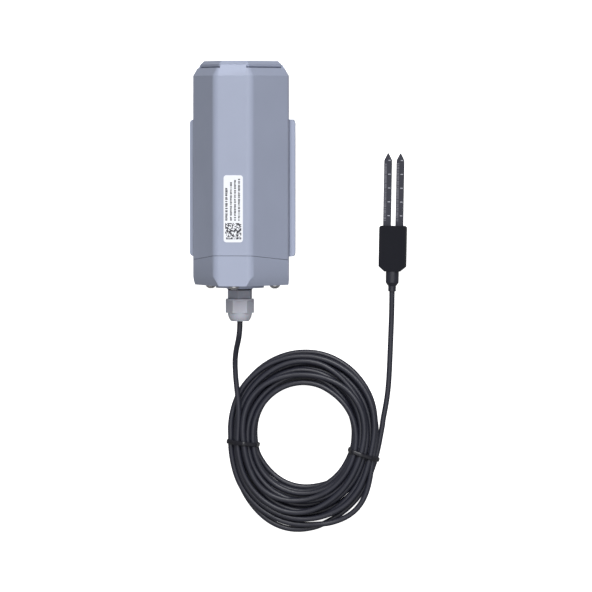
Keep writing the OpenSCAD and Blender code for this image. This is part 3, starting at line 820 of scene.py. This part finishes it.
LABEL_LOW, LABEL_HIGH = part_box("label")
LABEL_X = (LABEL_LOW[0] + LABEL_HIGH[0]) / 2 / MM
LABEL_Y = (LABEL_LOW[1] + LABEL_HIGH[1]) / 2 / MM
LABEL_TOP = LABEL_HIGH[2] / MM
LABEL_HALF = ((LABEL_HIGH[0] - LABEL_LOW[0]) / 2 / MM, (LABEL_HIGH[1] - LABEL_LOW[1]) / 2 / MM)
FILM_TOP = LABEL_TOP - 0.05
CODE_CELLS = 17
CODE_SIZE = 11.6
CODE_MARGIN = 2.2


def make_label():
    """White film with rounded corners and a softened rim."""
    w, l = LABEL_HALF
    corner, steps = 2.0, 8
    outline = []
    for k, (sx, sy) in enumerate(((1, 1), (-1, 1), (-1, -1), (1, -1))):
        for i in range(steps + 1):
            a = math.radians(90 * (k + i / steps))
            outline.append((sx * (w - corner) + corner * math.cos(a),
                            sy * (l - corner) + corner * math.sin(a)))
    base = LABEL_LOW[2] / MM
    rings = ((base, 0.0), (FILM_TOP - 0.04, 0.0), (FILM_TOP, 0.06))
    n = len(outline)
    points = []
    for z, inset in rings:
        for x, y in outline:
            k = 1 - inset / math.hypot(x, y)
            points.append(((LABEL_X + x * k) * MM, (LABEL_Y + y * k) * MM, z * MM))
    faces = [(r * n + i, r * n + (i + 1) % n, (r + 1) * n + (i + 1) % n, (r + 1) * n + i)
             for r in range(len(rings) - 1) for i in range(n)]
    faces += [tuple(range(n))[::-1], tuple(2 * n + i for i in range(n))]
    label = new_piece("label_film", mesh_of("label_film", points, faces), "shell", "label_film")
    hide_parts("label")


def code_cells(rng):
    """A made-up block of cells that holds no message."""
    for i in range(CODE_CELLS):
        for j in range(CODE_CELLS):
            if rng.random() < 0.58:
                yield i, j


def label_print():
    """Made-up block pattern and rows of unreadable marks."""
    rng = random.Random(5)
    slabs = Slabs()
    cell = CODE_SIZE / CODE_CELLS
    x0 = LABEL_X - CODE_SIZE / 2
    y0 = LABEL_Y - LABEL_HALF[1] + CODE_MARGIN
    low, high = FILM_TOP - 0.01, FILM_TOP + 0.03
    for i, j in code_cells(rng):
        x, y = x0 + i * cell, y0 + j * cell
        slabs.add((x, y, low), (x + cell, y + cell, high))
    start = y0 + CODE_SIZE + 1.8
    rows = ((-4.9, 0.85, 24.0), (-1.6, 0.65, 27.0), (1.3, 0.65, 28.5), (4.2, 0.65, 29.0))
    for across, half, length in rows:
        y = start
        while y < start + length:
            mark = rng.uniform(0.5, 0.95)
            shorter = rng.choice((0, 0, 0.25))
            slabs.add((LABEL_X + across - half, y, low),
                      (LABEL_X + across + half - shorter, y + mark, high))
            y += mark + rng.choice((0.2, 0.2, 0.3, 0.8))
    slabs.piece("label_marks", "shell", "label_film", (INK,))


PROBE_AT = Matrix.Translation((0.1072, -0.058, 0)) @ Matrix.Rotation(math.radians(-1), 4, "Z")
PRONG_MIDDLE = 4.5
HEAD_END = 30.6
BOARD_TOP = 5.6


def probe_print():
    """White marks every 10 mm on each prong, and a strip of unreadable small marks."""
    rng = random.Random(11)
    slabs = Slabs()
    low, high = BOARD_TOP - 0.02, BOARD_TOP + 0.03
    for middle in (-PRONG_MIDDLE, PRONG_MIDDLE):
        for i in range(5):
            y = HEAD_END + 7.3 + 10 * i
            slabs.add((middle + 0.3, y - 0.25, low), (middle + 2.1, y + 0.25, high), 0)
        y = HEAD_END + 3.5
        while y < HEAD_END + 45:
            mark = rng.uniform(0.4, 0.9)
            slabs.add((middle - 2.4, y, low), (middle - 0.8, y + mark, high), 1)
            y += mark + rng.choice((0.2, 0.25, 0.6))
    slabs.piece("probe_marks", "cap_unit", "sensor_laminate", (INK_WHITE, INK_GREY), PROBE_AT)


BOARD_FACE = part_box("main_board")[1][2] / MM
# Stretches of the board that are free of the larger parts: x and y from, to
FREE_BOARD = ((-19, -7.5, 51, 61), (-7, 9.5, 38.5, 42), (17, 20, 40, 60), (-9, 7, -36.5, -34.5))


def board_parts():
    """Small soldered parts on the board: chips with legs and two-ended parts."""
    rng = random.Random(3)
    slabs = Slabs()
    z = BOARD_FACE - 0.02
    for x0, x1, y0, y1 in FREE_BOARD:
        x = x0 + 0.9
        while x < x1 - 0.9:
            y = y0 + 0.6
            while y < y1 - 0.6:
                if rng.random() < 0.75:
                    tall = rng.uniform(0.35, 0.6)
                    slabs.add((x - 0.55, y - 0.3, z), (x - 0.3, y + 0.3, z + tall), 1, 0.02)
                    slabs.add((x + 0.3, y - 0.3, z), (x + 0.55, y + 0.3, z + tall), 1, 0.02)
                    slabs.add((x - 0.3, y - 0.28, z), (x + 0.3, y + 0.28, z + tall), 0, 0.02)
                y += 1.3
            x += 1.9
    slabs.piece("board_parts", "cap_unit", "part_black", (MATERIALS["part_black"], SOLDER))


make_label()
label_print()
probe_print()
board_parts()

# ---- stage ------------------------------------------------------------------------------

FLOOR_HALF = 3.0
FLOOR_TONE = (0.80, 0.80, 0.80)
FLOOR_GLOW = 0.9


def make_floor():
    h = FLOOR_HALF
    mesh = mesh_of("floor", [(-h, -h, 0), (h, -h, 0), (h, h, 0), (-h, h, 0)], [(0, 1, 2, 3)])
    floor = bpy.data.objects.new("floor", mesh)
    bpy.context.collection.objects.link(floor)
    n = Nodes("floor")
    n.colour(n.mix(n.ramp(n.noise(3), 0.3, 0.7), shade(FLOOR_TONE, 0.995), FLOOR_TONE))
    n.put("Roughness", 0.9)
    n.put("Specular IOR Level", 0.1)
    n.put("Emission Color", (1.0, 1.0, 1.0, 1.0))
    n.put("Emission Strength", FLOOR_GLOW)
    mesh.materials.append(n.material)
    floor.location.z = -0.00005
    # The sides stay darker than the front, as between black studio flags
    floor.visible_diffuse = False
    floor.visible_glossy = False


def make_sun(name, towards, strength, spread):
    """A broad, even light that comes from the direction `towards`."""
    data = bpy.data.lights.new(name, "SUN")
    data.energy = strength
    data.angle = math.radians(spread)
    sun = bpy.data.objects.new(name, data)
    bpy.context.collection.objects.link(sun)
    sun.rotation_euler = Vector(towards).to_track_quat("Z", "Y").to_euler()


def make_world():
    world = bpy.data.worlds.new("studio")
    world.use_nodes = True
    world.node_tree.nodes["Background"].inputs["Color"].default_value = (1, 1, 1, 1)
    world.node_tree.nodes["Background"].inputs["Strength"].default_value = 0.26
    bpy.context.scene.world = world


make_floor()
make_world()
make_sun("key", (0.14, 0.62, 0.77), 2.6, 40)
make_sun("fill", (0.16, -0.20, 0.97), 0.95, 70)
bpy.context.scene.view_settings.view_transform = "Standard"
